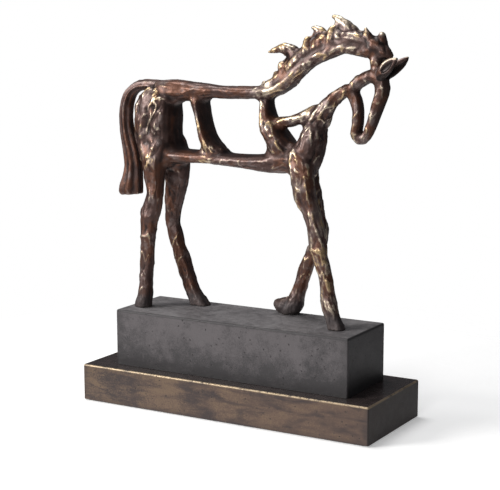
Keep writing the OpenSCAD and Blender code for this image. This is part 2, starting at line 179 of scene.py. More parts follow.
# %% Copies of the sections, and a row of mesh tools
SECTIONS = [
    "haunch", "breast", "right_hind_leg", "left_hind_leg", "right_foreleg", "left_foreleg",
    "back_bar", "belly_rail", "flank_strut", "shoulder_strut", "collar_bar", "throat_bar",
    "neck_crest", "mane_locks", "poll_post", "head_loop", "right_ear", "left_ear", "tail",
]


def linked(name, mesh):
    """A new object around a mesh, shown in the scene."""
    made = bpy.data.objects.new(name, mesh)
    bpy.context.scene.collection.objects.link(made)
    return made


def baked(thing, name):
    """The object's mesh with its modifiers worked in, and the object itself gone."""
    bpy.context.view_layer.update()
    result = bpy.data.meshes.new_from_object(thing.evaluated_get(bpy.context.evaluated_depsgraph_get()))
    result.name = name
    bpy.data.objects.remove(thing)
    return result


def joined_sections(names, extra=()):
    """One mesh of welded copies, and the number of the section that each face belongs to."""
    whole, owners = bmesh.new(), []
    for number, source in enumerate([nodes[name].data for name in names] + list(extra)):
        part = bmesh.new()
        part.from_mesh(source)
        bmesh.ops.remove_doubles(part, verts=part.verts, dist=1e-6)
        copy = bpy.data.meshes.new("copy")
        part.to_mesh(copy)
        whole.from_mesh(copy)
        owners += [number] * len(part.faces)
        part.free()
        bpy.data.meshes.remove(copy)
    mesh = bpy.data.meshes.new("joined")
    whole.to_mesh(mesh)
    whole.free()
    return mesh, owners


def worked_over(mesh, steps, name):
    """A mesh after a row of steps: wrap in voxels of a size, push along normals, soften."""
    carrier = linked(name, mesh)
    for kind, amount in steps:
        tool = carrier.modifiers.new(kind, {"wrap": "REMESH", "push": "DISPLACE", "soften": "SMOOTH"}[kind])
        if kind == "wrap":
            tool.mode, tool.voxel_size = "VOXEL", amount
        elif kind == "push":
            tool.mid_level, tool.strength = 0.0, amount
        else:
            tool.factor, tool.iterations = 0.5, amount
    return baked(carrier, name)


print(len(SECTIONS), "sections")

# %% [markdown]
# The windows of the body have round corners, because wax was thumbed into every joint. Pushing
# a surface out by the radius of a thumb and back in again fills its corners just so. It is done
# to a few neighbours at a time, each with its own radius, because a broad thumb would close the
# small windows of the shoulder. The head, the ears and the tail stay as they are.

# %% Fill the corners, then wrap everything in one even skin
COARSE, SKIN_CELL = 1.5 * MM, 1.0 * MM
THUMBS = [
    (8.0 * MM, ["haunch", "right_hind_leg", "back_bar", "flank_strut"]),
    (6.5 * MM, ["haunch", "right_hind_leg", "belly_rail", "flank_strut"]),
    (6.0 * MM, ["haunch", "left_hind_leg", "belly_rail"]),
    (8.0 * MM, ["breast", "right_foreleg", "belly_rail", "throat_bar"]),
    (7.0 * MM, ["shoulder_strut", "belly_rail", "right_foreleg"]),
    (4.0 * MM, ["back_bar", "belly_rail", "shoulder_strut", "neck_crest", "mane_locks"]),
    (3.2 * MM, ["breast", "left_foreleg", "belly_rail", "shoulder_strut", "collar_bar", "throat_bar",
                "neck_crest", "poll_post", "mane_locks", "right_foreleg"]),
]


def thumbed(names, radius):
    """The named sections with every corner between them filled to a radius."""
    return worked_over(joined_sections(names)[0], [
        ("wrap", COARSE), ("soften", 2), ("push", radius), ("wrap", COARSE), ("soften", 4),
        ("push", -radius * 1.03), ("wrap", COARSE), ("soften", 2)], "filled")


filled = [thumbed(names, radius) for radius, names in THUMBS]
everything, face_owner = joined_sections(SECTIONS)
sections_tree = BVHTree.FromPolygons([v.co for v in everything.vertices],
                                     [p.vertices for p in everything.polygons])
everything, _ = joined_sections(SECTIONS, filled)
skin_mesh = worked_over(everything, [("wrap", SKIN_CELL)], "horse_skin")
print("skin", len(skin_mesh.vertices), "points", len(skin_mesh.polygons), "faces")

# %% [markdown]
# The skin is now handled as arrays, because smoothing touches every point many times. Points
# are pulled towards the mean of their neighbours. Where a crease is hollow that pull is
# outwards, and keeping only the outward part fills the joints without thinning the limbs.

# %% Arrays of the skin, its normals and its neighbours
def points_of(mesh):
    flat = np.empty(len(mesh.vertices) * 3)
    mesh.vertices.foreach_get("co", flat)
    return flat.reshape(-1, 3)


class Skin:
    """A quad mesh as arrays."""

    def __init__(self, mesh):
        self.points = points_of(mesh)
        corners = np.empty(len(mesh.loops), int)
        mesh.loops.foreach_get("vertex_index", corners)
        self.quads = corners.reshape(-1, 4)
        edges = np.empty(len(mesh.edges) * 2, int)
        mesh.edges.foreach_get("vertices", edges)
        edges = edges.reshape(-1, 2)
        self.here = np.concatenate([edges[:, 0], edges[:, 1]])
        self.there = np.concatenate([edges[:, 1], edges[:, 0]])
        self.size = len(self.points)
        self.degree = np.maximum(np.bincount(self.here, minlength=self.size), 1)

    def spread(self, values):
        """Each point's values replaced by the mean of its neighbours'."""
        if values.ndim == 1:
            return np.bincount(self.here, values[self.there], self.size) / self.degree
        return np.stack([self.spread(values[:, i]) for i in range(values.shape[1])], 1)

    def softened(self, values, times):
        """Values spread to the neighbours by half, a number of times."""
        for _ in range(times):
            values = 0.5 * values + 0.5 * self.spread(values)
        return values

    def face_normals(self):
        p, q = self.points, self.quads
        return np.cross(p[q[:, 2]] - p[q[:, 0]], p[q[:, 3]] - p[q[:, 1]])

    def normals(self):
        """Each point's normal, from the faces round it by their size."""
        faces, total = self.face_normals(), np.zeros_like(self.points)
        for corner in range(4):
            for axis in range(3):
                total[:, axis] += np.bincount(self.quads[:, corner], faces[:, axis], self.size)
        return total / np.maximum(np.linalg.norm(total, axis=1, keepdims=True), 1e-12)

    def pull(self):
        """The step to the neighbours' mean, and how much of it points outwards."""
        step, normal = self.spread(self.points) - self.points, self.normals()
        return step, normal, (step * normal).sum(1)


skin = Skin(skin_mesh)
print("mean edge", round(float(np.linalg.norm(
    skin.points[skin.here] - skin.points[skin.there], axis=1).mean() / MM), 2), "mm")

# %% Remember which section each point came from
owner = np.array([face_owner[sections_tree.find_nearest(Vector(p))[2]] for p in skin.points])
print({name: int((owner == i).sum()) for i, name in enumerate(SECTIONS)})

# %% Fill the joints and take the facets off
FILL_ROUNDS, SOFT_ROUNDS = 30, 14
UNFILLED = {"tail": 0.1, "mane_locks": 0.12, "right_ear": 0.05, "left_ear": 0.05}
CRISP = 0.45                   # how far the unfilled sections are softened, against the others
SHRINK, SWELL = 0.5, -0.53     # each softening step is followed by one that gives the volume back


def per_section(values, otherwise, rounds):
    """A value for each point from its section's, softened across the borders."""
    return skin.softened(np.array([values.get(SECTIONS[i], otherwise) for i in owner]), rounds)


fill = per_section(UNFILLED, 1.0, 8)
for _ in range(FILL_ROUNDS):
    step, normal, outward = skin.pull()
    skin.points += normal * (np.maximum(outward, 0) * fill * 0.8)[:, None]
    skin.points += (step - normal * outward[:, None]) * 0.3
crisp = per_section(dict.fromkeys(UNFILLED, CRISP), 1.0, 6)
for _ in range(SOFT_ROUNDS):
    for strength in (SHRINK, SWELL):
        skin.points += skin.pull()[0] * (strength * crisp)[:, None]
print("skin rounded, height", round(float(skin.points[:, 2].max() / MM), 1), "mm")

# %% [markdown]
# ## The modelling of the surface
# The sculptor built the horse from dabs and rolls of wax that run along each limb. The skin
# therefore needs to know which way each limb runs and where its middle is. The longest
# direction of each CAD section gives the one and its mean point the other. The tables say how
# deep the marks are on each section, how many dabs and how many seams it has, against 1 for a
# leg. Where two sections meet, the marks are calmer.

# %% The way each limb runs
RUNS = {"mane_locks": (-0.45, 0.0, 0.9), "haunch": (0.15, 0.0, 1.0)}
WORKED = {"tail": 0.25, "right_ear": 0.12, "left_ear": 0.12, "mane_locks": 0.7, "neck_crest": 0.75,
          "head_loop": 0.6, "back_bar": 0.7, "collar_bar": 0.7, "haunch": 1.3, "belly_rail": 0.75}
DABBED = {"neck_crest": 0.6, "mane_locks": 0.8, "poll_post": 0.8, "right_ear": 0.0, "left_ear": 0.0}
LINED = {"mane_locks": 0.5, "neck_crest": 0.6, "poll_post": 0.4, "tail": 0.5, "right_ear": 0.1,
         "left_ear": 0.1, "back_bar": 0.6, "right_foreleg": 0.95}


def run_of(name):
    """A section's longest direction, and its mean point."""
    spots = points_of(nodes[name].data)
    way = np.array(RUNS[name]) if name in RUNS else np.linalg.svd(
        spots - spots.mean(0), full_matrices=False)[2][0]
    return way / np.linalg.norm(way), spots.mean(0)


ways, hearts = (np.array(side) for side in zip(*(run_of(name) for name in SECTIONS)))
worked = per_section(WORKED, 1.0, 8)
border = np.bincount(skin.here, owner[skin.here] != owner[skin.there], skin.size) > 0
border = np.clip(skin.softened(border.astype(float), 10) * 3.5, 0, 1)

# %% [markdown]
# The walls that look into the body from behind, and the upper side of the belly rail, were out
# of the modeller's reach, so they stay smooth. Later they are painted nearly black: this is
# painted shade, for walls that face away from the key lamp or lie under the back.

# %% Find the inner walls that get painted shade
FORWARD_WALLS = ["haunch", "flank_strut", "shoulder_strut", "left_hind_leg", "right_hind_leg", "head_loop"]
normals = skin.normals()
# Painted shade: these walls face +x, away from the key lamp, and are later painted dark.
forward = np.clip((normals[:, 0] - 0.50) / 0.30, 0, 1)
forward *= np.isin(owner, [SECTIONS.index(name) for name in FORWARD_WALLS])
upward = np.clip((normals[:, 2] - 0.45) / 0.30, 0, 1) * (owner == SECTIONS.index("belly_rail"))
painted_shade = np.clip(skin.softened(np.maximum(forward, upward), 10) * 1.15, 0, 1)
below_body = skin.points[:, 2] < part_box("belly_rail")[0].z - 15 * MM
painted_shade[below_body] *= 0.35
painted_shade = skin.softened(painted_shade, 8)
print("inner walls", int((painted_shade > 0.5).sum()), "points of", skin.size)
print("ways", dict(zip(SECTIONS, np.round(ways, 1).tolist())))

# %% [markdown]
# The marks themselves follow rules, so Geometry Nodes make them. A tree needs named inputs for
# its sizes and an output that realizes and dresses its mesh. Numbers pass between the arrays
# and the tree as attributes, one for each point.

# %% Helpers for Geometry Nodes
def geometry_tree(name, inputs):
    """An empty Geometry Nodes tree with named inputs, as a bench and its input wires."""
    tree = bpy.data.node_groups.new(name, "GeometryNodeTree")
    tree.interface.new_socket("Geometry", in_out="INPUT", socket_type="NodeSocketGeometry")
    tree.interface.new_socket("Geometry", in_out="OUTPUT", socket_type="NodeSocketGeometry")
    for label, kind, value in inputs:
        socket = tree.interface.new_socket(label, in_out="INPUT", socket_type=kind)
        if value is not None:
            socket.default_value = value
    bench = Bench(tree)
    entry = tree.nodes.new("NodeGroupInput")
    wires = {s.name: Wire(bench, s) for s in entry.outputs if s.name}
    return bench, wires


def finish_tree(bench, geometry, material):
    """Realize Instances and Set Material, which every tree ends with."""
    real = bench.node("GeometryNodeRealizeInstances", (), {"Geometry": geometry})
    dressed = bench.node("GeometryNodeSetMaterial", (), {"Geometry": real, "Material": material})
    way_out = bench.tree.nodes.new("NodeGroupOutput")
    bench.tree.links.new(dressed.socket, way_out.inputs[0])
    return bench.tree


def set_inputs(modifier, values):
    """Sets named Geometry Nodes inputs, each by its socket's identifier."""
    for item in modifier.node_group.interface.items_tree:
        if item.item_type == "SOCKET" and item.in_out == "INPUT" and item.name in values:
            modifier[item.identifier] = values[item.name]


def put_attribute(mesh, name, values):
    """Stores a number or a vector for each point of a mesh."""
    kind = "FLOAT" if values.ndim == 1 else "FLOAT_VECTOR"
    made = mesh.attributes.new(name, kind, "POINT")
    made.data.foreach_set("value" if values.ndim == 1 else "vector", values.astype(np.float32).ravel())


def take_attribute(mesh, name):
    """Reads the numbers that a tree has stored."""
    values = np.empty(len(mesh.vertices), np.float32)
    mesh.attributes[name].data.foreach_get("value", values)
    return values.astype(float)


print("helpers ready")

# %% [markdown]
# The marks are broad swellings, scooped facets, round dabs where the wax was thumbed on, thin
# raised seams that wander along the limb, and a fine casting grain. The place of each point is
# squeezed along its limb first, which stretches every mark the same way. The tree doesn't move
# the points. It writes down the height of the marks and how much of a seam each point has, and
# the arrays above then calm the height where two sections meet.

# %% The modelling tree
def modelling_tree():
    bench, put = geometry_tree("modelling", [
        ("Facet Size", "NodeSocketFloat", 11 * MM), ("Facet Depth", "NodeSocketFloat", 1 * MM),
        ("Dab Size", "NodeSocketFloat", 7 * MM), ("Dab Depth", "NodeSocketFloat", 0.5 * MM),
        ("Seam Height", "NodeSocketFloat", 1 * MM), ("Seam Width", "NodeSocketFloat", 0.1),
        ("Swelling", "NodeSocketFloat", 1 * MM), ("Grain", "NodeSocketFloat", 0.1 * MM),
        ("Stretch", "NodeSocketFloat", 2.5), ("Material", "NodeSocketMaterial", None)])

    def noted(label, kind):
        return bench.node("GeometryNodeInputNamedAttribute", {"data_type": kind}, {"Name": label})

    place, along = bench.node("GeometryNodeInputPosition"), noted("way", "FLOAT_VECTOR")
    local = bench.vector("SUBTRACT", place, noted("heart", "FLOAT_VECTOR"))
    reach = bench.vector("DOT_PRODUCT", local, along, output="Value")
    squeeze = bench.vector("SCALE", along, scale=reach * (1 - 1 / put["Stretch"]))
    laid = bench.vector("SUBTRACT", local, squeeze)
    drift = bench.node("ShaderNodeTexNoise", (),
                       {"Vector": laid, "Scale": 1 / (11 * MM), "Detail": 2.0}, "Color")
    wander = bench.vector("SCALE", bench.vector("SUBTRACT", drift, (0.5, 0.5, 0.5)), scale=9 * MM)
    snaking = bench.vector("ADD", laid, wander)
    thumbed_at = bench.vector("ADD", local, wander)

    edge = bench.node("ShaderNodeTexVoronoi", {"feature": "DISTANCE_TO_EDGE"}, {
        "Vector": bench.vector("SCALE", snaking, scale=1 / put["Facet Size"]), "Scale": 1.0}, "Distance")

    def ridge(size, shift, thin, rarity):
        """A thin line that snakes where a broad noise crosses its middle, broken into runs."""
        where = bench.vector("ADD", laid, (shift, shift * 0.7, shift * 1.3))
        line = bench.noise(where, size, 2.0, 0.45, 0.5)
        line = (1 - abs(line - 0.5) * thin).most(0.0) ** 1.3
        return line * bench.step(bench.noise(where, size * 1.1, 1.0), rarity, rarity + 0.1)

    def vein(distance, rarity, spacing):
        """A thin line round some of the facets, where a noise of the given spacing allows it."""
        present = bench.step(bench.noise(laid, spacing, 1.0), rarity, rarity + 0.1)
        return (1 - distance / put["Seam Width"]).most(0.0) ** 1.3 * present

    swell = (bench.noise(laid, 17 * MM, 1.0) - 0.5) * 3.2
    scoop = 0.5 - bench.step(edge, 0.0, 0.45)
    seam = ridge(17 * MM, 0.2, 19.0, 0.47).most(ridge(10 * MM, 0.5, 13.0, 0.53) * 0.75)
    seam = seam.most(vein(edge, 0.57, 14 * MM)).most(ridge(6.5 * MM, 0.8, 10.0, 0.54) * 0.5)
    dab = 0.4 - bench.node("ShaderNodeTexVoronoi", {"feature": "SMOOTH_F1"}, {
        "Vector": bench.vector("SCALE", thumbed_at, scale=1 / put["Dab Size"]),
        "Scale": 1.0, "Smoothness": 0.3}, "Distance")
    grain = (bench.noise(place, 1.8 * MM, 2.0) - 0.5) * 2
    seam = seam * noted("lined", "FLOAT")
    height = (swell * put["Swelling"] + scoop * put["Facet Depth"]
              + dab * put["Dab Depth"] * 2 * noted("dabbed", "FLOAT")
              + seam * put["Seam Height"] + grain * put["Grain"])
    written = put["Geometry"]
    for label, value in (("seam", seam), ("height", height)):
        written = bench.node("GeometryNodeStoreNamedAttribute", {"data_type": "FLOAT", "domain": "POINT"},
                             {"Geometry": written, "Name": label, "Value": value})
    return finish_tree(bench, written, put["Material"])


MODELLING = modelling_tree()
print("modelling tree", len(MODELLING.nodes), "nodes")

# %% [markdown]
# ## Finishes
# The horse's bronze is nearly black in the hollows, red-brown on the broad faces and rubbed
# back to dull gold and pale cream on the ridges. The cream is partly a painted highlight, and a
# rose-grey tone laid in clouds is partly painted sheen. The colours need to know what is a
# ridge, so the skin will carry an attribute called relief, from 0 in a hollow to 1 on a ridge.
# The slab has the same metal, smoother, with golden clouds. The block is a matte charcoal patina.

# %% Helpers for materials
def material(name, build, **fixed):
    """A Principled material. build returns its varying sockets, and fixed its constant ones."""
    made = bpy.data.materials.new(name)
    made.use_nodes = True
    tree = made.node_tree
    tree.nodes.clear()
    bench = Bench(tree)
    sockets = build(bench)
    sockets.update({key.replace("_", " "): value for key, value in fixed.items()})
    shader = bench.node("ShaderNodeBsdfPrincipled", (), sockets)
    out = tree.nodes.new("ShaderNodeOutputMaterial")
    tree.links.new(shader.socket, out.inputs["Surface"])
    return made


def object_place(bench):
    return bench.node("ShaderNodeTexCoord", (), (), "Object")


def bump(bench, height, distance, strength=1.0):
    return bench.node("ShaderNodeBump", (), {"Height": height, "Distance": distance, "Strength": strength})


deck_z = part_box("upper_plinth")[1].z
print("deck at", round(deck_z / MM, 1), "mm")

# %% Horse bronze
NIGHT = rgb(0.021, 0.013, 0.012)
UMBER = rgb(0.086, 0.049, 0.042)
EMBER = rgb(0.135, 0.054, 0.029)
# Rose-grey: partly the patina's own tone, partly painted sheen.
ASH_AND_SHEEN = rgb(0.190, 0.145, 0.138)
GOLD = rgb(0.57, 0.40, 0.22)
# Pale cream of the rubbed ridges: partly rubbed gilt, partly a painted highlight.
CREAM_GILT_AND_HIGHLIGHT = rgb(0.60, 0.50, 0.38)
HOOF = rgb(0.060, 0.054, 0.056)


def horse_bronze(bench):
    place = object_place(bench)
    relief = bench.node("ShaderNodeAttribute", {"attribute_name": "relief"}, (), "Fac")
    gilt = bench.node("ShaderNodeAttribute", {"attribute_name": "gilt"}, (), "Fac")
    drift = bench.noise(place, 26 * MM, 3.0, 0.5)
    cloud = bench.noise(bench.vector("ADD", place, (0.3, 0.2, 0.1)), 15 * MM, 4.0, 0.55)
    speck = bench.noise(place, 2.2 * MM, 3.0, 0.6)
    height = bench.node("ShaderNodeSeparateXYZ", (), {0: place}, 2)
    colour = bench.blend(bench.step(relief + (cloud - 0.5) * 0.5, 0.12, 0.48), NIGHT, UMBER)
    colour = bench.blend(bench.step(drift + (relief - 0.4) * 0.4, 0.50, 0.66) * 0.75, colour, EMBER)
    # Partly painted sheen: rose-grey laid in clouds over the higher places.
    ashen_and_sheen = bench.step(cloud + (relief - 0.4) * 0.5 + (gilt - 0.5) * 0.25, 0.54, 0.72)
    colour = bench.blend(ashen_and_sheen * 0.7, colour, ASH_AND_SHEEN)
    hoofed = 1 - bench.step(height, deck_z + 10 * MM, deck_z + 24 * MM)
    reached = relief + (speck - 0.5) * 0.3 + (cloud - 0.5) * 0.5 + (gilt - 0.5) * 0.55
    rubbed = bench.step(reached, 0.66, 0.94) * (1 - hoofed * 0.9)
    # The rubbed ridges turn cream or gold; the cream is partly a painted highlight.
    gilding = bench.blend(bench.step(drift, 0.46, 0.56), CREAM_GILT_AND_HIGHLIGHT, GOLD)
    colour = bench.blend(rubbed * 0.85, colour, gilding)
    colour = bench.blend(hoofed * 0.8, colour, HOOF)
    dull = 0.44 + (speck - 0.5) * 0.2 - rubbed * 0.06 + hoofed * 0.15
    return {"Base Color": colour, "Metallic": 0.60 + rubbed * 0.25, "Roughness": dull,
            "Normal": bump(bench, speck + bench.noise(place, 0.8 * MM, 2.0) * 0.4, 0.22 * MM, 0.5)}


BRONZE = material("horse_bronze", horse_bronze, Coat_Weight=0.06, Coat_Roughness=0.25)
print(BRONZE.name, len(BRONZE.node_tree.nodes), "nodes")

# %% [markdown]
# ## Press the marks into the skin
# The modifier works on the skin, is evaluated once, and is gone. The points are then kept
# inside the model's outer box, and the hoof soles flat on the deck.

# %% Work the modelling into the skin
def with_points(skin, name):
    mesh = bpy.data.meshes.new(name)
    mesh.from_pydata(skin.points, [], skin.quads.tolist())
    mesh.update()
    return mesh


marked = with_points(skin, "marked")
put_attribute(marked, "way", ways[owner])
put_attribute(marked, "heart", hearts[owner])
put_attribute(marked, "dabbed", per_section(DABBED, 0.1, 6))
put_attribute(marked, "lined", per_section(LINED, 1.0, 6) * (1 - painted_shade))
carrier = linked("carrier", marked)
marks = carrier.modifiers.new("modelling", "NODES")
marks.node_group = MODELLING
set_inputs(marks, {
    "Facet Size": 13 * MM, "Facet Depth": 1.4 * MM, "Dab Size": 10 * MM, "Dab Depth": 1.6 * MM,
    "Seam Height": 0.9 * MM, "Seam Width": 0.10, "Swelling": 1.5 * MM, "Grain": 0.07 * MM,
    "Stretch": 2.2, "Material": BRONZE})
noted_mesh = baked(carrier, "noted")
seam, height = take_attribute(noted_mesh, "seam"), take_attribute(noted_mesh, "height")
BORDER_ROUNDS, WALL_CALM_AND_SHADE = 12, 0.8
for _ in range(BORDER_ROUNDS):
    height = height * (1 - border) + skin.spread(height) * border
skin.points += skin.normals() * (height * worked * (1 - WALL_CALM_AND_SHADE * painted_shade))[:, None]
low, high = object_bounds()
skin.points = np.clip(skin.points, (low.x, low.y, deck_z), (high.x, high.y, high.z))
print("marks pressed, height", round(float(skin.points[:, 2].max() / MM), 1), "mm")

# %% [markdown]
# The relief is measured next: a point that stands out from the average of its neighbourhood is
# on a ridge. A narrow neighbourhood finds the thin ridges and a wide one the broad ones. The
# lower right half of each ear, with its hollow, faces away from the lamp and is darkened as
# painted shade. The right foreleg is made browner and lighter, partly its own red-brown and partly
# painted light.

# %% Measure the relief
def standing_out(skin, rounds):
    """How far each point stands out of its neighbourhood, in metres."""
    around = skin.softened(skin.points, rounds)
    return ((skin.points - around) * skin.normals()).sum(1)


PLAIN, FINE_SHARE, BROAD_SHARE, SEAM_SHARE, PAINTED_SHADE_DARK = 0.40, 0.12, 0.22, 0.30, 0.10
FORELEG_TONE_AND_LIGHT, EAR_PAINTED_SHADE, EAR_SHADED_SIDE = 0.13, 0.5, (0.64, 0.0, -0.77)
fine = standing_out(skin, 4) / (0.10 * MM)
broad = standing_out(skin, 30) / (0.8 * MM)
# Painted shade: the relief, and with it the colour, is pulled dark on the inner walls.
relief = PLAIN + FINE_SHARE * fine + BROAD_SHARE * broad + SEAM_SHARE * seam - PAINTED_SHADE_DARK * painted_shade
# Partly the foreleg's own red-brown, partly painted light: the whole leg is lifted towards the lighter
# colours.
relief += FORELEG_TONE_AND_LIGHT * per_section({"right_foreleg": 1.0}, 0.0, 12)
# Painted shade: the half of each ear that faces away from the lamp is pulled dark.
for name in ("right_ear", "left_ear"):
    middle = sum(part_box(name), Vector()) / 2
    across = (skin.points - middle) @ np.array(EAR_SHADED_SIDE)
    relief -= (owner == SECTIONS.index(name)) * np.clip(0.5 + across / (3 * MM), 0, 1) * EAR_PAINTED_SHADE
relief = np.clip(skin.softened(relief, 1), 0, 1)
print("relief", np.round(np.percentile(relief, [5, 25, 50, 75, 95]), 2))

# %% [markdown]
# Hands and cloths have rubbed some places more than others: the mane and the neck, and the
# spots where members meet. A second attribute, gilt, says how far. On the crest the faces that
# look up get more gold and those that look down less: partly rubbing from above, partly painted
# light from above and painted shade below. The gold is less towards the poll, where it is also darker.

# %% Where the gold shows most
GILT = {"mane_locks": 0.74, "neck_crest": 0.74, "poll_post": 0.5, "belly_rail": 0.16, "head_loop": 0.40,
        "right_ear": 0.42, "left_ear": 0.35, "haunch": 0.62, "flank_strut": 0.45, "tail": 0.15,
        "back_bar": 0.08, "right_foreleg": 0.50, "right_hind_leg": 0.32, "left_hind_leg": 0.28}
MEETINGS = [("flank_strut", "belly_rail", 15), ("back_bar", "shoulder_strut", 17), ("haunch", "back_bar", 15),
            ("collar_bar", "shoulder_strut", 9), ("belly_rail", "right_foreleg", 6),
            ("throat_bar", "collar_bar", 14), ("haunch", "right_hind_leg", 12)]  # reach in mm
MEETING_GOLD = 0.75


def meeting(first, second):
    """The mean of the first section's points that touch the second."""
    spots = points_of(nodes[first].data)
    mesh = nodes[second].data
    tree = BVHTree.FromPolygons([v.co for v in mesh.vertices], [p.vertices for p in mesh.polygons])
    near = np.array([tree.find_nearest(Vector(spot))[3] < 1.5 * MM for spot in spots])
    return spots[near].mean(0)


gilt = per_section(GILT, 0.40, 25)
for first, second, reach in MEETINGS:
    away = np.linalg.norm((skin.points - meeting(first, second)) * (1, 0.4, 1), axis=1)
    gilt += MEETING_GOLD * np.exp(-(away / (reach * MM)) ** 2)
# Painted shade: the inner walls also lose their gold.
gilt *= 1 - WALL_CALM_AND_SHADE * painted_shade
crest = per_section({"mane_locks": 1.0, "neck_crest": 1.0}, 0.0, 6)
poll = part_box("poll_post")[0].x
to_poll = np.clip((skin.points[:, 0] - poll + 12 * MM) / (14 * MM), 0, 1)
# Partly painted light from above and painted shade below: faces that look up gain gold, faces that look down
# lose it.
gilt += crest * (0.34 * skin.softened(skin.normals()[:, 2], 6) - 0.30 * to_poll)
relief -= 0.18 * crest * to_poll
print("gilt", np.round(np.percentile(gilt, [5, 25, 50, 75, 95]), 2))

# %% [markdown]
# ## Cut the skin back into its sections
# Each face goes to the section that most of its corners came from. A section's open edge is
# closed with a small cap inside the metal. Where an opening is long and curved, a cap would cut
# across the open windows, so such a section gets a thin lining under its whole skin instead.
# The normals come from the whole skin, so the joint between two sections doesn't show, as on
# the chased casting.

# %% Sort the faces into sections
PASSES = 4


def neighbours(quads):
    """The pairs of faces that share a side, as two rows."""
    sides = np.sort(np.stack([quads, np.roll(quads, -1, 1)], 2).reshape(-1, 2), 1)
    face_of = np.repeat(np.arange(len(quads)), 4)
    order = np.lexsort((sides[:, 1], sides[:, 0]))
    same = (sides[order][1:] == sides[order][:-1]).all(1)
    return face_of[order][:-1][same], face_of[order][1:][same]


def patches(left, right, count):
    """One number for all the faces that the pairs join into a patch."""
    root = np.arange(count)
    while True:
        smaller, before = np.minimum(root[left], root[right]), root.copy()
        np.minimum.at(root, left, smaller)
        np.minimum.at(root, right, smaller)
        root = root[root]
        if (root == before).all():
            return root


def face_sections(quads, owner):
    """The section of each face, with every stray patch given to its surroundings."""
    corner = owner[quads]
    votes = (corner[:, :, None] == corner[:, None, :]).sum(2)
    chosen = corner[np.arange(len(quads)), votes.argmax(1)]
    left, right = neighbours(quads)
    for _ in range(PASSES):
        alike = chosen[left] == chosen[right]
        root = patches(left[alike], right[alike], len(quads))
        patch, size = np.unique(root, return_counts=True)
        largest = {}
        for p, s in zip(patch, size):
            largest[chosen[p]] = max(largest.get(chosen[p], 0), s)
        size_of = dict(zip(patch, size))
        stray = np.array([size_of[r] < largest[c] for r, c in zip(root, chosen)])
        if not stray.any():
            break
        for f, g in ((left, right), (right, left)):
            take = stray[f] & ~stray[g]
            chosen[f[take]] = chosen[g[take]]
    return chosen


section_of = face_sections(skin.quads, owner)
print("faces per section", np.bincount(section_of).tolist())

# %% Close each section and dress it
def open_loops(quads):
    """The rings of points round a patch's openings, each in order."""
    sides = np.stack([quads, np.roll(quads, -1, 1)], 2).reshape(-1, 2)
    known = set(map(tuple, sides.tolist()))
    onward = {}
    for a, b in known:
        if (b, a) not in known:
            onward.setdefault(a, []).append(b)
    loops = []
    while onward:
        start = next(iter(onward))
        loop, here = [start], start
        while True:
            there = onward[here].pop()
            if not onward[here]:
                del onward[here]
            if there == start:
                break
            loop.append(there)
            here = there
        loops.append(loop)
    return loops


whole_normals = skin.normals()
CAP_DEPTH, LINING, LONG_RING = 1.2 * MM, 0.6 * MM, 190 * MM


def ring_length(loop):
    return np.linalg.norm(np.diff(skin.points[loop + loop[:1]], axis=0), axis=1).sum()


def cap_triangles(ring):
    """Well-shaped triangles that close a ring of spots, as places in the reversed ring."""
    patch = bmesh.new()
    patch.faces.new([patch.verts.new(spot) for spot in ring])
    bmesh.ops.triangulate(patch, faces=patch.faces[:], ngon_method="BEAUTY")
    patch.verts.index_update()
    found = [[len(ring) - 1 - v.index for v in face.verts] for face in patch.faces]
    patch.free()
    return found


def section_piece(label, node, quads):
    """One closed section of the horse, with its own object, normals and attributes."""
    loops = open_loops(quads)
    used = np.unique(quads)
    place = np.full(skin.size, -1)
    place[used] = np.arange(len(used))
    spots = skin.points[used].tolist()
    faces = place[quads].tolist()
    outer = len(faces)
    shelled = max(map(ring_length, loops)) > LONG_RING
    if shelled:
        spots += (skin.points[used] - whole_normals[used] * LINING).tolist()
        faces += (place[quads][:, ::-1] + len(used)).tolist()
    for loop in loops:
        ring = place[loop].tolist()
        sunk = [k + len(used) for k in ring]
        if not shelled:
            sunk = list(range(len(spots), len(spots) + len(loop)))
            spots += (skin.points[loop] - whole_normals[loop] * CAP_DEPTH).tolist()
            faces += [[sunk[i] for i in corner] for corner in cap_triangles([spots[k] for k in sunk][::-1])]
        for i in range(len(loop)):
            j = (i + 1) % len(loop)
            faces.append([ring[j], ring[i], sunk[i], sunk[j]])
    mesh = bpy.data.meshes.new(label)
    mesh.from_pydata(spots, [], faces)
    mesh.update()
    mesh.polygons.foreach_set("use_smooth", np.ones(len(faces), bool))
    extra = len(spots) - len(used)
    for kind, values in (("relief", relief), ("gilt", gilt)):
        put_attribute(mesh, kind, np.concatenate([values[used], np.zeros(extra)]))
    lean = np.concatenate([whole_normals[quads].reshape(-1, 3)] + [
        np.tile(np.array(mesh.polygons[i].normal), (len(faces[i]), 1)) for i in range(outer, len(faces))])
    mesh.normals_split_custom_set(lean.tolist())
    mesh.materials.append(BRONZE)
    piece = linked(label, mesh)
    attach(piece, "root")
    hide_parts(node)
    return piece


# %% Make the nineteen sections
for number, name in enumerate(SECTIONS):
    piece = section_piece(name + "_cast", name, skin.quads[section_of == number])
    print(name, len(piece.data.polygons), "faces")

# %% [markdown]
# ## The two castings of the plinth
# The plinth castings keep the shape they have in the CAD, inside and out. Their outer edges
# get the small rounding of a worked casting, their faces are cut into small cells, and a tree
# then gives the faces the slight waves and pits that the patina sits in.

# %% Cut a CAD piece into cells with rounded outer edges
def cad_copy(name):
    """A bmesh of a CAD node with its triangles joined and its flat faces made whole."""
    made = bmesh.new()
    made.from_mesh(nodes[name].data)
    bmesh.ops.remove_doubles(made, verts=made.verts, dist=2e-6)
    bmesh.ops.dissolve_limit(made, angle_limit=math.radians(0.6), verts=made.verts, edges=made.edges)
    return made


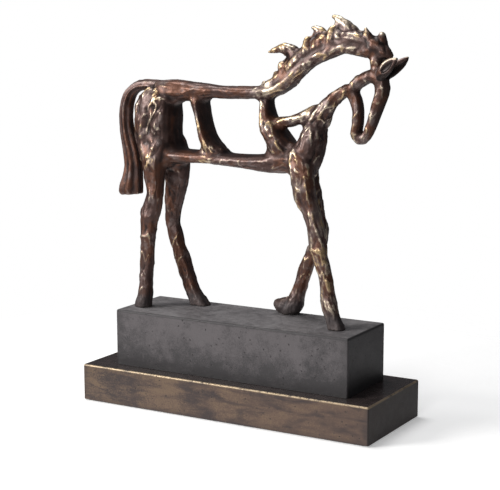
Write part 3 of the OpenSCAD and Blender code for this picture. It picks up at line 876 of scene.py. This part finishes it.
def top_outer_edge(edge, low, high):
    """Whether an edge of the top face runs round its outside and isn't the rim of a hole."""
    return (all(v.co.z > high.z - 5e-5 for v in edge.verts)
            and any(abs(f.normal.z) < 0.5 for f in edge.link_faces)
            and all(min(v.co.x - low.x, high.x - v.co.x, v.co.y - low.y, high.y - v.co.y) < 3.5 * MM
                    for v in edge.verts))


def round_edges(made, width, wanted, rings=3):
    edges = [e for e in made.edges if len(e.link_faces) == 2
             and e.calc_face_angle(0) > math.radians(30) and wanted(e)]
    bmesh.ops.bevel(made, geom=edges, offset=width, segments=rings, profile=0.5, affect="EDGES",
                    clamp_overlap=True)


def cut_cells(made, low, high, cell):
    for axis in range(3):
        count = max(1, round((high[axis] - low[axis]) / cell))
        for i in range(1, count):
            middle, along = Vector(), Vector()
            middle[axis], along[axis] = low[axis] + (high[axis] - low[axis]) * i / count, 1
            bmesh.ops.bisect_plane(made, geom=made.verts[:] + made.edges[:] + made.faces[:],
                                   plane_co=middle, plane_no=along, dist=1e-6)


def finish_mesh(made, name, sharp=34):
    """A mesh with smooth faces and sharp edges where the surface turns hard."""
    bmesh.ops.recalc_face_normals(made, faces=made.faces)
    for edge in made.edges:
        edge.smooth = len(edge.link_faces) == 2 and edge.calc_face_angle(0) < math.radians(sharp)
    for face in made.faces:
        face.smooth = True
    mesh = bpy.data.meshes.new(name)
    made.to_mesh(mesh)
    made.free()
    return mesh


print("cutters ready")

# %% The casting-surface tree
def casting_tree():
    bench, put = geometry_tree("casting", [
        ("Wave", "NodeSocketFloat", 0.2 * MM), ("Pit", "NodeSocketFloat", 0.3 * MM),
        ("Pit Spacing", "NodeSocketFloat", 9 * MM), ("Material", "NodeSocketMaterial", None)])
    place = bench.node("GeometryNodeInputPosition")
    share = bench.node("GeometryNodeInputNamedAttribute", {"data_type": "FLOAT"}, {"Name": "worked"})
    wave = bench.noise(place, 26 * MM, 2.0) - 0.5
    near = bench.cells(bench.vector("SCALE", place, scale=1 / put["Pit Spacing"]), 1.0)
    pit = (1 - near * 4.5).most(0.0) * bench.step(bench.noise(place, 30 * MM, 1.0), 0.45, 0.6)
    depth = (wave * put["Wave"] - 0.5 * put["Wave"] - pit * put["Pit"]) * share
    offset = bench.vector("SCALE", bench.node("GeometryNodeInputNormal"), scale=depth)
    moved = bench.node("GeometryNodeSetPosition", (), {"Geometry": put["Geometry"], "Offset": offset})
    return finish_tree(bench, moved, put["Material"])


CASTING = casting_tree()
print("casting tree", len(CASTING.nodes), "nodes")

# %% A plinth casting
CELL, NEAR_OUTSIDE, FOOT = 2.6 * MM, 0.06 * MM, 3 * MM


def plinth_casting(node, edge, wave, pit, finish):
    """A CAD casting with rounded top edges and a worked outside."""
    low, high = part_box(node)
    made = cad_copy(node)
    round_edges(made, edge, lambda e: top_outer_edge(e, low, high))
    cut_cells(made, low, high, CELL)
    mesh = finish_mesh(made, node)
    spots = points_of(mesh)
    gap = np.minimum(spots - np.array(low), np.array(high) - spots)
    outside = np.minimum(gap[:, 0], np.minimum(gap[:, 1], high.z - spots[:, 2])) < NEAR_OUTSIDE
    away_from_foot = np.clip((spots[:, 2] - low.z) / FOOT, 0, 1)
    put_attribute(mesh, "worked", outside * away_from_foot)
    shaped = linked(node + "_shaped", mesh)
    tool = shaped.modifiers.new("casting", "NODES")
    tool.node_group = CASTING
    set_inputs(tool, {"Wave": wave, "Pit": pit, "Pit Spacing": 10 * MM, "Material": finish})
    piece = linked(node + "_cast", baked(shaped, node + "_cast"))
    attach(piece, "root")
    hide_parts(node)
    return piece


print("cells", round(CELL / MM, 1), "mm")

# %% [markdown]
# ## Finishes of the plinth
# Both castings are read from Object coordinates, so that the patina knows where it is on the
# piece. The slab is brown with golden streaks on its sides, nearly black on top, and rubbed
# bright along its top edge. It is darker towards its two ends and its foot, and its right end is
# painted nearly black as painted shade. The slab's own specular level is low, because a waxed
# patina shines less than bare metal.

# %% Where a spot lies on a plinth piece
def axes(bench, place):
    """The x, y and z of a place."""
    return [bench.node("ShaderNodeSeparateXYZ", (), {0: place}, i) for i in range(3)]


def top_edge(bench, spot, low, high, drop, reach):
    """1 along the top edge of a box. drop is where it starts and is full, below the top, and
    reach is where it is still full and ends, in from the sides."""
    x, y, z = spot
    side = (high.x - x).least(x - low.x).least((high.y - y).least(y - low.y))
    return bench.step(z, high.z - drop[0], high.z - drop[1]) * (1 - bench.step(side, *reach))


def low_and_outer(bench, spot, low, high, inset, rise):
    """1 at the foot of a box and at its two ends, and 0 past inset and rise."""
    x, y, z = spot
    return 1 - bench.step((high.x - x).least(x - low.x), *inset).least(bench.step(z, low.z, low.z + rise))


# %% Slab bronze
SLAB_BROWN = rgb(0.105, 0.068, 0.052)
SLAB_DARK = rgb(0.045, 0.034, 0.033)
SLAB_GOLD = rgb(0.166, 0.118, 0.080)
SLAB_BLACK = rgb(0.026, 0.021, 0.020)
WORN = rgb(0.50, 0.38, 0.24)


def slab_bronze(bench):
    place = object_place(bench)
    spot = x, y, z = axes(bench, place)
    low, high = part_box("lower_plinth")
    streaks = bench.noise(bench.vector("MULTIPLY", place, (0.35, 0.35, 1.6)), 16 * MM, 5.0, 0.62, 0.6)
    cloud = bench.noise(place, 40 * MM, 4.0, 0.6, 0.4)
    patch = bench.noise(place, 9 * MM, 4.0, 0.6)
    speck = bench.noise(place, 1.5 * MM, 3.0, 0.65)
    pits = bench.cells(place, 5.5 * MM)
    top = bench.step(z, high.z - 1.6 * MM, high.z - 0.5 * MM)
    # Painted shade: the slab's right end gets the dark deck colour, less metal and less wear.
    shaded_end = bench.step(x, high.x - 2.5 * MM, high.x - 0.8 * MM)
    rubbed = (1 - top) * (1 - shaded_end * 0.9)
    colour = bench.blend(bench.step(streaks * 0.6 + cloud * 0.4, 0.38, 0.60), SLAB_DARK, SLAB_BROWN)
    gathered = streaks * 0.45 + cloud * 0.35 + patch * 0.2 + (speck - 0.5) * 0.5
    golden = bench.step(gathered - x * 0.4, 0.46, 0.64)
    colour = bench.blend(golden * 0.7, colour, SLAB_GOLD)
    # Darker towards the two ends and the foot.
    darker_foot_and_ends = low_and_outer(bench, spot, low, high, (1.5 * MM, 9 * MM), 7 * MM)
    colour = bench.blend(darker_foot_and_ends * 0.45, colour, SLAB_DARK)
    deck = bench.blend(bench.step(patch, 0.3, 0.6) * top, SLAB_BLACK, SLAB_DARK)
    colour = bench.blend(1 - rubbed, colour, deck)
    rim = top_edge(bench, spot, low, high, (2.6 * MM, 1.2 * MM), (1.0 * MM, 2.2 * MM))
    rim = rim * bench.step(speck * 0.4 + patch * 0.6, 0.34, 0.54) * (1 - shaded_end * 0.5)
    colour = bench.blend(rim * 0.7, colour, WORN)
    pitted = (1 - bench.step(pits + (speck - 0.5) * 0.35, 0.08, 0.24)) * bench.step(patch, 0.40, 0.54)
    colour = bench.blend(pitted * 0.85, colour, SLAB_BLACK)
    dull = 0.40 + (patch - 0.5) * 0.2 + (speck - 0.5) * 0.15 - top * 0.14 + shaded_end * 0.3
    return {"Base Color": colour, "Metallic": 0.15 + (0.2 + golden * 0.3) * rubbed, "Roughness": dull,
            "Normal": bump(bench, speck * 0.7 + patch - pitted * 1.5, 0.3 * MM, 0.7)}


SLAB_METAL = material("slab_bronze", slab_bronze, Coat_Weight=0.06, Coat_Roughness=0.2,
                      Specular_IOR_Level=0.3)
print(SLAB_METAL.name, len(SLAB_METAL.node_tree.nodes), "nodes")

# %% [markdown]
# The block's patina is matte charcoal: mottled sides that darken towards the foot and the
# two ends, a lighter top that is partly dust and partly painted light from above, small dark
# pits, a right end darkened as painted shade, and a dark line round the top edge and the foot
# that is a painted shadow.

# %% Block patina
BLOCK_GREY = rgb(0.028, 0.025, 0.027)
BLOCK_LIGHT = rgb(0.090, 0.080, 0.084)
BLOCK_DARK = rgb(0.014, 0.012, 0.013)
BLOCK_DUST_AND_TOP_LIGHT = rgb(0.330, 0.315, 0.320)


def block_patina(bench):
    place = object_place(bench)
    spot = x, y, z = axes(bench, place)
    low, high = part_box("upper_plinth")
    cloud = bench.noise(place, 46 * MM, 5.0, 0.6, 0.5)
    patch = bench.noise(place, 8 * MM, 4.0, 0.62)
    speck = bench.noise(place, 1.1 * MM, 3.0, 0.7)
    pits = bench.cells(place, 6 * MM)
    fall = bench.step(z, low.z, high.z - 15 * MM) - 0.5
    mottled = bench.step(cloud * 0.35 + patch * 0.3 + speck * 0.35 + fall * 0.14, 0.40, 0.62)
    colour = bench.blend(mottled, BLOCK_GREY, BLOCK_LIGHT)
    pitted = (1 - bench.step(pits + (speck - 0.5) * 0.3, 0.08, 0.22)) * bench.step(patch, 0.40, 0.54)
    colour = bench.blend(pitted * 0.85, colour, BLOCK_DARK)
    # Darker towards the two ends and the foot.
    darker_foot_and_ends = low_and_outer(bench, spot, low, high, (1 * MM, 14 * MM), 16 * MM)
    colour = bench.blend(darker_foot_and_ends * 0.42, colour, BLOCK_DARK)
    # Partly painted light from above: the whole top is lightened, with dusty mottling on it.
    top = bench.step(z, high.z - 0.9 * MM, high.z - 0.3 * MM)
    dust_and_top_light = bench.step(cloud * 0.4 + patch * 0.3 + speck * 0.3, 0.42, 0.62)
    colour = bench.blend(top * (0.2 + dust_and_top_light * 0.45), colour, BLOCK_DUST_AND_TOP_LIGHT)
    # Painted shade: the block's right end is darkened.
    shaded_end = bench.step(x, high.x - 2.5 * MM, high.x - 0.8 * MM) * (1 - top)
    colour = bench.blend(shaded_end * 0.35, colour, BLOCK_DARK)
    # Painted shadow: a dark line along the top edge, and painted shade round the foot where the block sits on
    # the slab.
    edge = top_edge(bench, spot, low, high, (3.4 * MM, 1.6 * MM), (1.6 * MM, 3.2 * MM))
    foot = 1 - bench.step(z, low.z + 0.5 * MM, low.z + 3.5 * MM)
    colour = bench.blend(edge.most(foot) * 0.75, colour, BLOCK_DARK)
    dull = 0.55 + (patch - 0.5) * 0.25 + (speck - 0.5) * 0.2
    return {"Base Color": colour, "Metallic": 0.1 + pitted * 0.1, "Roughness": dull,
            "Normal": bump(bench, speck * 0.9 + patch - pitted * 1.5, 0.3 * MM, 0.8)}


BLOCK_PATINA = material("block_patina", block_patina)
print(BLOCK_PATINA.name, len(BLOCK_PATINA.node_tree.nodes), "nodes")

# %% [markdown]
# Under the slab are a plywood board and a felt, and inside are steel fixings. They hardly show,
# but each piece of the model can be looked at by itself, so each gets its own plain finish.

# %% Board, felt and steel
def plywood(bench):
    place = object_place(bench)
    grain = bench.noise(bench.vector("MULTIPLY", place, (1.0, 12.0, 1.0)), 30 * MM, 5.0, 0.6, 0.8)
    ply = bench.node("ShaderNodeSeparateXYZ", (), {0: place}, 2)
    layer = abs(bench.node("ShaderNodeMath", {"operation": "SINE"}, {0: ply / (0.5 * MM)}))
    colour = bench.blend(bench.step(grain, 0.35, 0.7), rgb(0.42, 0.28, 0.16), rgb(0.24, 0.14, 0.07))
    return {"Base Color": colour, "Roughness": 0.62 + (grain - 0.5) * 0.2,
            "Normal": bump(bench, grain + layer * 0.2, 0.15 * MM, 0.5)}


def felted(bench):
    place = object_place(bench)
    fibre = bench.noise(place, 0.7 * MM, 4.0, 0.75, 1.5)
    clump = bench.noise(place, 5 * MM, 3.0)
    colour = bench.blend(bench.step(fibre * 0.6 + clump * 0.4, 0.35, 0.65), rgb(0.010, 0.010, 0.011),
                         rgb(0.032, 0.031, 0.033))
    return {"Base Color": colour, "Roughness": 0.92 + (fibre - 0.5) * 0.1,
            "Normal": bump(bench, fibre, 0.3 * MM, 0.8)}


def turned_steel(bench):
    place = object_place(bench)
    brushed = bench.noise(bench.vector("MULTIPLY", place, (1.0, 1.0, 9.0)), 1.2 * MM, 3.0, 0.6)
    stain = bench.noise(place, 4 * MM, 3.0)
    colour = bench.blend(bench.step(stain, 0.4, 0.7), rgb(0.52, 0.52, 0.53), rgb(0.36, 0.35, 0.35))
    return {"Base Color": colour, "Roughness": 0.30 + (brushed - 0.5) * 0.2,
            "Normal": bump(bench, brushed, 0.05 * MM, 0.4)}


PLYWOOD = material("plywood", plywood)
FELT = material("felt", felted, Sheen_Weight=0.3, Sheen_Roughness=0.6)
STEEL = material("turned_steel", turned_steel, Metallic=1.0)
print(PLYWOOD.name, FELT.name, STEEL.name)

# %% [markdown]
# The pieces themselves come last, now that their finishes exist. The sizes say how far the top
# edges are rounded, and how deep the waves and the pits go.

# %% Build the two castings
plinth_casting("lower_plinth", 2.2 * MM, 0.45 * MM, 0.6 * MM, SLAB_METAL)
plinth_casting("upper_plinth", 2.2 * MM, 0.50 * MM, 0.4 * MM, BLOCK_PATINA)

# %% The board, the felt and the fixings
def small_part(node, edge, finish):
    """A CAD node with its hard edges broken, for parts whose shape is already right."""
    made = cad_copy(node)
    round_edges(made, edge, lambda e: True, 2)
    mesh = finish_mesh(made, node)
    mesh.materials.append(finish)
    piece = linked(node + "_finished", mesh)
    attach(piece, "root")
    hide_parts(node)
    return piece


small_part("base_board", 0.3 * MM, PLYWOOD)
small_part("base_felt", 0.3 * MM, FELT)
for node in ("plinth_bolts", "bolt_washers", "board_screws", "hoof_studs", "stud_washers", "stud_nuts"):
    small_part(node, 0.15 * MM, STEEL)
print("small parts ready")

# %% [markdown]
# ## Floor, light and camera
# The horse stands in a white studio. The floor is a sheet that fades away with distance, so that
# only a soft shadow joins the slab to the white behind it.

# %% Floor
floor_mesh = bpy.data.meshes.new("floor")
floor_mesh.from_pydata([(-2, -2, 0), (2, -2, 0), (2, 2, 0), (-2, 2, 0)], [], [(0, 1, 2, 3)])
floor = linked("floor", floor_mesh)
pale = bpy.data.materials.new("floor_white")
pale.use_nodes = True
pale.node_tree.nodes.clear()
sweep = Bench(pale.node_tree)
far = sweep.step(sweep.vector("LENGTH", object_place(sweep), output="Value"), 0.22, 0.6)
paint = sweep.node("ShaderNodeBsdfPrincipled", (), {
    "Base Color": rgb(0.86, 0.86, 0.86), "Roughness": 0.8,
    "Emission Color": rgb(1, 1, 1), "Emission Strength": 0.3})
fading = sweep.node("ShaderNodeMixShader", (), {0: far, 1: paint, 2: sweep.node("ShaderNodeBsdfTransparent")})
pale_out = pale.node_tree.nodes.new("ShaderNodeOutputMaterial")
pale.node_tree.links.new(fading.socket, pale_out.inputs["Surface"])
floor_mesh.materials.append(pale)
print("floor", tuple(round(v, 2) for v in floor.dimensions))

# %% [markdown]
# The camera sees a white world, but the metal is lit by a dim one, so that its dark hollows stay
# dark. Three soft lamps do the rest: a large one from the front left for the broad faces, one
# overhead for the crest and the tops, and a weak one in front.

# %% World
scene = bpy.context.scene
world = bpy.data.worlds.new("studio")
scene.world = world
world.use_nodes = True
world.node_tree.nodes.clear()
sky = Bench(world.node_tree)
seen = sky.node("ShaderNodeLightPath", (), (), "Is Camera Ray")
around = sky.node("ShaderNodeBackground", (), {"Color": rgb(0.9, 0.93, 1.0), "Strength": 0.08})
behind = sky.node("ShaderNodeBackground", (), {"Color": rgb(1, 1, 1), "Strength": 1.0})
mixed = sky.node("ShaderNodeMixShader", (), {0: seen, 1: around, 2: behind})
world_out = world.node_tree.nodes.new("ShaderNodeOutputWorld")
world.node_tree.links.new(mixed.socket, world_out.inputs["Surface"])
print("world", len(world.node_tree.nodes), "nodes")


# %% Lights
def softbox(name, at, aim, size, power, tint=(1, 1, 1)):
    light = bpy.data.lights.new(name, "AREA")
    light.shape, light.size, light.energy, light.color = "SQUARE", size, power, tint
    lamp = bpy.data.objects.new(name, light)
    bpy.context.scene.collection.objects.link(lamp)
    lamp.location = at
    lamp.rotation_euler = (Vector(aim) - Vector(at)).to_track_quat("-Z", "Y").to_euler()
    return lamp


middle = (0, 0, 0.2)
softbox("key", (-1.35, -1.45, 0.95), middle, 0.8, 43, (1.0, 0.985, 0.96))
softbox("top", (-0.45, 0.05, 1.9), middle, 0.9, 23)
softbox("front", (0.45, -2.0, 0.9), middle, 0.6, 13)
print([light.name for light in bpy.data.lights])

# %% [markdown]
# The camera stands a metre and a half away, a little above the deck, and turned by thirty degrees
# so that the end of the plinth shows.

# %% Camera
AZIMUTH, ELEVATION, DISTANCE = math.radians(30.014), math.radians(9.568), 1.53876
TARGET = Vector((0.0032, 0.0, 0.1841))
LENS_PER_WIDTH = 1413.45 / 500      # the lens in widths of the picture
camera = bpy.data.cameras.new("camera")
camera.sensor_fit, camera.sensor_width, camera.lens = "HORIZONTAL", 36.0, 36.0 * LENS_PER_WIDTH
eye = bpy.data.objects.new("camera", camera)
scene.collection.objects.link(eye)
eye.location = TARGET + DISTANCE * Vector((
    math.sin(AZIMUTH) * math.cos(ELEVATION), -math.cos(AZIMUTH) * math.cos(ELEVATION), math.sin(ELEVATION)))
eye.rotation_euler = (TARGET - eye.location).to_track_quat("-Z", "Y").to_euler()
scene.camera = eye
scene.view_settings.view_transform = "Standard"
print("camera at", [round(v, 3) for v in eye.location])
